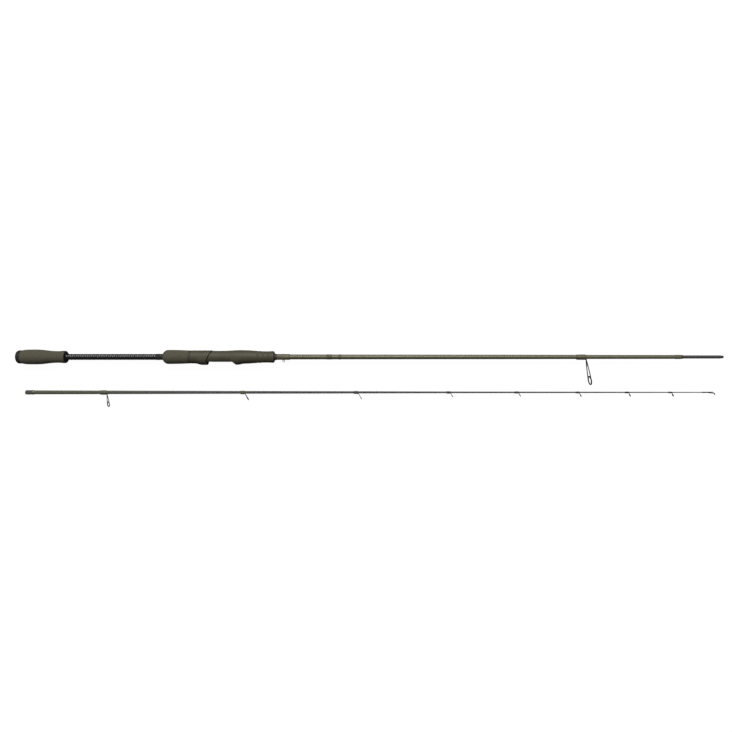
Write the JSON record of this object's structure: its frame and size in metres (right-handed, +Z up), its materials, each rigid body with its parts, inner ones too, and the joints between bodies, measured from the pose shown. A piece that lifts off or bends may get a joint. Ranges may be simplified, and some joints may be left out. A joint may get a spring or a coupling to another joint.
{
  "type": "spinning rod",
  "caption": "Fishing rod for a fixed-spool reel, in two sections laid side by side, with a split handle, a screw-down reel seat, line guides and a ferrule.",
  "frame": {"origin": "middle of the base of the whole layout, on the surface that the rod lies on", "axes": "+X runs along the rod from the butt to the tip; the guides and the reel seat face -Y; +Z up"},
  "size_m": [1.264, 0.1036, 0.0267],
  "materials": {
    "foam": "matte, closed cells",
    "seat_rubber": "soft-touch satin",
    "cap_rubber": "matte",
    "carbon_braid": "raised braid under clear coat",
    "grey_trim": "anodised satin",
    "black_trim": "satin",
    "spigot_carbon": "ground satin carbon",
    "arbor_foam": "rigid foam",
    "blank_paint": "olive satin paint under clear coat, fading to graphite",
    "collar_gloss": "gloss",
    "keeper_chrome": "polished",
    "trim_thread": "thread under epoxy",
    "olive_thread": "thread under epoxy",
    "dark_thread": "thread under epoxy",
    "guide_frame": "black gunmetal plating",
    "guide_ring": "polished"
  },
  "bodies": {
    "root": {"butt_cap": "cap_rubber", "butt_ring": "grey_trim", "rear_grip": "foam", "rear_grip_check": "black_trim", "braided_sleeve": "carbon_braid", "handle_collar": "black_trim", "reel_seat": "seat_rubber", "seat_arbor_rear": "arbor_foam", "seat_arbor_middle": "arbor_foam", "seat_arbor_front": "arbor_foam", "front_check": "black_trim", "fore_wrap": "olive_thread", "hook_keeper_foot": "keeper_chrome", "butt_blank": "blank_paint", "trim_band_wide": "trim_thread", "trim_band_narrow": "trim_thread", "stripper_frame": "guide_frame", "stripper_ring": "guide_ring", "stripper_wrap": "olive_thread", "ferrule_wrap": "olive_thread", "ferrule_check": "black_trim", "spigot": "spigot_carbon", "spigot_plug": "black_trim"},
    "hood": {"sliding_hood": "seat_rubber"},
    "nut": {"nut_grip": "foam", "lock_nut": "black_trim", "nut_ring": "black_trim"},
    "keeper": {"hook_keeper_ring": "keeper_chrome"},
    "tip_section": {"tip_blank": "blank_paint", "ferrule_collar": "collar_gloss", "tip_top_frame": "guide_frame", "tip_top_ring": "guide_ring", "guide_1_frame": "guide_frame", "guide_2_frame": "guide_frame", "guide_3_frame": "guide_frame", "guide_4_frame": "guide_frame", "guide_5_frame": "guide_frame", "guide_6_frame": "guide_frame", "guide_7_frame": "guide_frame", "guide_8_frame": "guide_frame", "guide_1_ring": "guide_ring", "guide_2_ring": "guide_ring", "guide_3_ring": "guide_ring", "guide_4_ring": "guide_ring", "guide_5_ring": "guide_ring", "guide_6_ring": "guide_ring", "guide_7_ring": "guide_ring", "guide_8_ring": "guide_ring", "guide_1_wrap": "olive_thread", "guide_2_wrap": "olive_thread", "guide_3_wrap": "dark_thread", "guide_4_wrap": "dark_thread", "guide_5_wrap": "dark_thread", "guide_6_wrap": "dark_thread", "guide_7_wrap": "dark_thread", "guide_8_wrap": "dark_thread"}
  },
  "joints": [
    {"name": "hood_slide", "type": "slide", "parent": "root", "child": "hood", "axis": [1, 0, 0], "range_m": [-0.02, 0]},
    {"name": "nut_spin", "type": "hinge", "parent": "hood", "child": "nut", "pos_m": [-0.3498, 0.03843, 0.01335], "axis": [1, 0, 0], "range_deg": [-3600, 0]},
    {"name": "keeper_swing", "type": "hinge", "parent": "root", "child": "keeper", "pos_m": [-0.15545, 0.03299, 0.01335], "axis": [1, 0, 0], "range_deg": [-65, 65]},
    {"name": "tip_lift", "type": "slide", "parent": "root", "child": "tip_section", "axis": [0, 0, 1], "range_m": [0, 0.15]}
  ],
  "couplings": [
    {"joint": "hood_slide", "follows": "nut_spin", "m_per_rad": 0.00031831}
  ]
}
